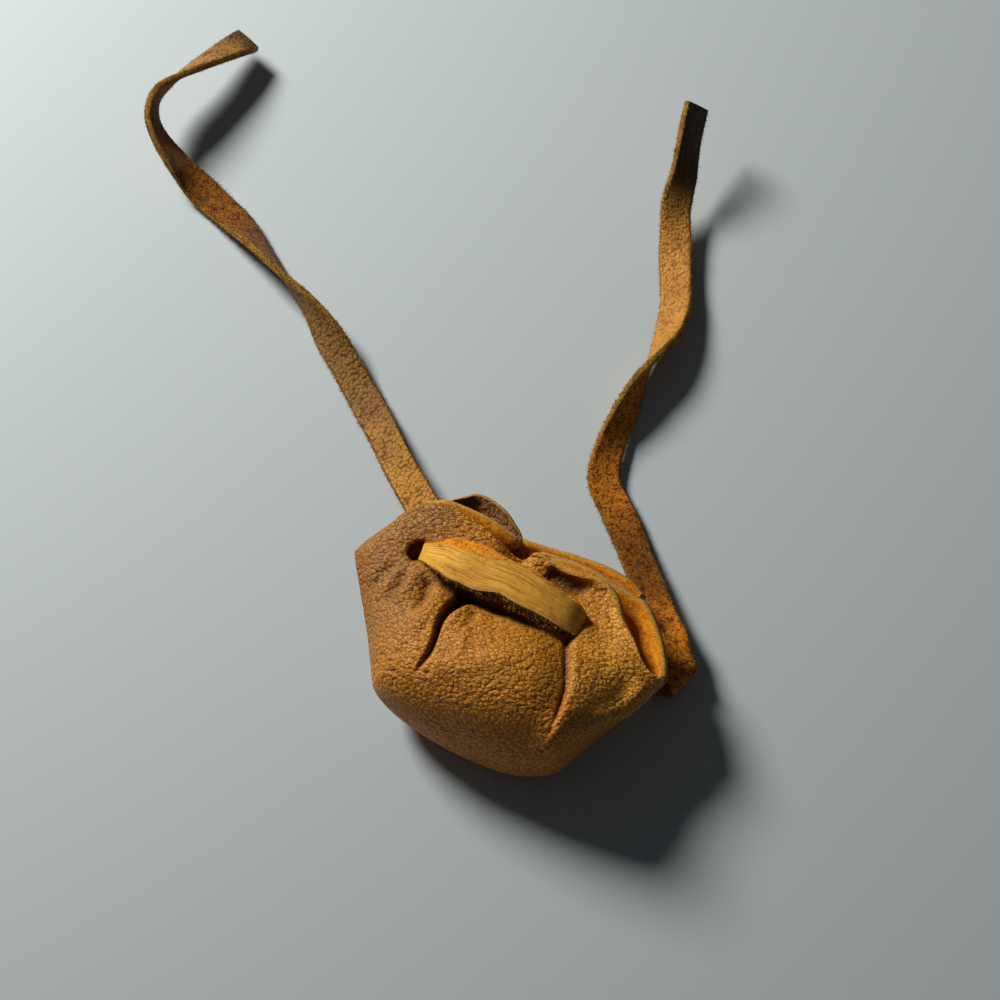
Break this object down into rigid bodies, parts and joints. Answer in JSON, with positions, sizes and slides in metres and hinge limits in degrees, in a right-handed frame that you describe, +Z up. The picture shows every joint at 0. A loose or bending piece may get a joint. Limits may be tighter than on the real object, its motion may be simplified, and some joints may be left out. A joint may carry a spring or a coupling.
{
  "type": "drawstring pouch",
  "caption": "Small soft leather drawstring pouch lying on its back, gathered on a flat lace that runs through slits near the mouth and leaves as loose tails.",
  "frame": {"origin": "centre of the pouch's box on the surface that it lies on, without the loose tails of the lace", "axes": "+X across the mouth, to the right seen from the front; +Y from the closed bottom to the mouth; +Z up, from the back that lies down to the front"},
  "size_m": [0.1348, 0.136, 0.0216],
  "materials": {
    "tan_grain": "soft pebbled golden-tan grain, matt",
    "lace_leather": "soft lace leather, smooth tan grain and orange suede back"
  },
  "bodies": {
    "pouch": {"pouch_body": "tan_grain", "lace_bridge": "lace_leather"},
    "left_tail": {"lace_tail_left": "lace_leather"},
    "right_tail": {"lace_tail_right": "lace_leather"}
  },
  "joints": [
    {"name": "left_tail_pull", "type": "slide", "parent": "pouch", "child": "left_tail", "axis": [-0.735, 0.678, 0], "range_m": [0, 0.008]},
    {"name": "right_tail_pull", "type": "slide", "parent": "pouch", "child": "right_tail", "axis": [1, 0, 0], "range_m": [0, 0.008]}
  ]
}
